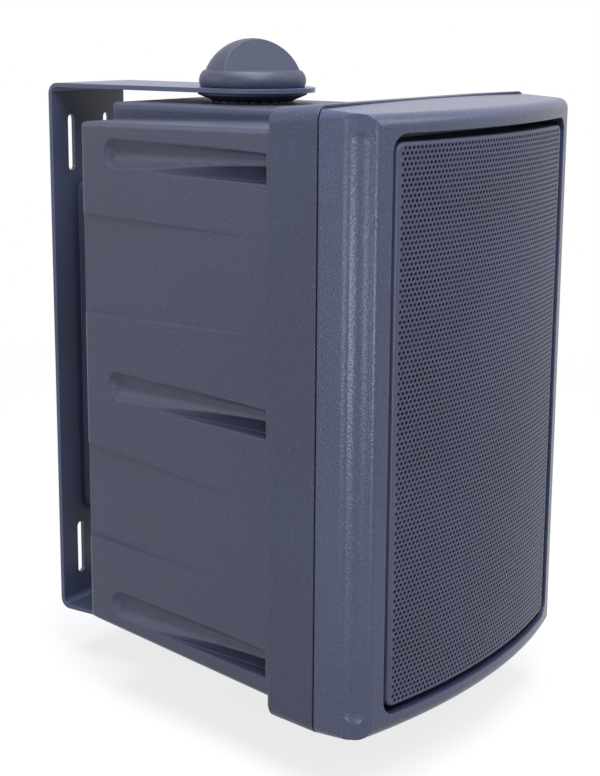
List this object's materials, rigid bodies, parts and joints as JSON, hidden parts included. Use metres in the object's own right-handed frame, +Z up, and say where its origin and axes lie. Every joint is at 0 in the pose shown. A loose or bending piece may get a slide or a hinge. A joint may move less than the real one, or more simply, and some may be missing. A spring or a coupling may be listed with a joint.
{
  "type": "wall speaker",
  "caption": "Two-way speaker with a bowed perforated grille and a fluted tapering shell, hung in a slotted steel U bracket and clamped by two round hand knobs.",
  "frame": {"origin": "centre of the bracket's flat wall face, midway between the two arms", "axes": "+Y out of the wall face into the wall, -Y the way the grille looks, +Z up, +X to the right of someone who faces the wall"},
  "size_m": [0.17, 0.2215, 0.2956],
  "materials": {
    "bracket_paint": "fine matt powder coat on steel",
    "knob_plastic": "finely grained moulded plastic",
    "shell_plastic": "spark-eroded fine grain, moulded",
    "bezel_plastic": "spark-eroded fine grain, moulded, slightly glossier",
    "grille_paint": "powder-coated perforated steel",
    "zinc_steel": "zinc plated",
    "black_foam": "closed-cell foam",
    "black_steel": "black oxide",
    "insert_brass": "bright",
    "black_rubber": "matt",
    "basket_paint": "black paint on pressed steel",
    "surround_rubber": "satin",
    "cone_paper": "pressed paper",
    "cap_paper": "pressed paper",
    "copper_wire": "enamelled copper winding",
    "spider_cloth": "resin-dipped cloth",
    "ferrite": "sintered ferrite, matt",
    "driver_plastic": "fine grain",
    "dome_silk": "coated silk",
    "red_plastic": "glossy",
    "black_plastic": "glossy",
    "board_green": "varnished board",
    "capacitor_blue": "dipped film",
    "resistor_ceramic": "white ceramic"
  },
  "bodies": {
    "bracket": {"u_bracket": "bracket_paint", "upper_washer": "knob_plastic", "lower_washer": "knob_plastic"},
    "cabinet": {"rear_shell": "shell_plastic", "front_bezel": "bezel_plastic", "grille": "grille_paint", "seam_gasket": "black_foam", "baffle_screws": "black_steel", "upper_insert": "insert_brass", "lower_insert": "insert_brass", "upper_pad": "black_rubber", "lower_pad": "black_rubber", "upper_stud": "zinc_steel", "lower_stud": "zinc_steel", "woofer_basket": "basket_paint", "woofer_gasket": "black_foam", "woofer_surround": "surround_rubber", "woofer_spider": "spider_cloth", "woofer_top_plate": "zinc_steel", "woofer_magnet": "ferrite", "woofer_pole_plate": "zinc_steel", "woofer_screws": "black_steel", "tweeter_face": "driver_plastic", "tweeter_dome": "dome_silk", "tweeter_motor": "ferrite", "tweeter_screws": "black_steel", "terminal_cup": "driver_plastic", "lever_pin": "zinc_steel", "terminal_contacts": "insert_brass", "terminal_screws": "black_steel", "crossover_board": "board_green", "crossover_coil": "copper_wire", "crossover_capacitor": "capacitor_blue", "crossover_resistor": "resistor_ceramic", "board_screws": "zinc_steel"},
    "knob_upper": {"upper_knob": "knob_plastic", "upper_nut": "insert_brass"},
    "knob_lower": {"lower_knob": "knob_plastic", "lower_nut": "insert_brass"},
    "cone": {"woofer_cone": "cone_paper", "woofer_dust_cap": "cap_paper", "woofer_coil": "copper_wire"},
    "lever_red": {"terminal_lever_red": "red_plastic"},
    "lever_black": {"terminal_lever_black": "black_plastic"}
  },
  "joints": [
    {"name": "cabinet_swivel", "type": "hinge", "parent": "bracket", "child": "cabinet", "pos_m": [0, -0.097, 0], "axis": [0, 0, 1], "range_deg": [-80, 80]},
    {"name": "upper_knob_turn", "type": "hinge", "parent": "cabinet", "child": "knob_upper", "pos_m": [0, -0.097, 0.13], "axis": [0, 0, 1], "continuous": true},
    {"name": "lower_knob_turn", "type": "hinge", "parent": "cabinet", "child": "knob_lower", "pos_m": [0, -0.097, -0.13], "axis": [0, 0, 1], "continuous": true},
    {"name": "cone_travel", "type": "slide", "parent": "cabinet", "child": "cone", "axis": [0, 1, 0], "range_m": [-0.0025, 0.0025], "stiffness_N_per_m": 1500, "deforming": ["woofer_surround", "woofer_spider"]},
    {"name": "red_lever_press", "type": "hinge", "parent": "cabinet", "child": "lever_red", "pos_m": [0, -0.0556, -0.037], "axis": [-1, 0, 0], "range_deg": [0, 14], "stiffness_Nm_per_rad": 0.02, "springref_deg": -11.46},
    {"name": "black_lever_press", "type": "hinge", "parent": "cabinet", "child": "lever_black", "pos_m": [0, -0.0556, -0.037], "axis": [-1, 0, 0], "range_deg": [0, 14], "stiffness_Nm_per_rad": 0.02, "springref_deg": -11.46}
  ]
}
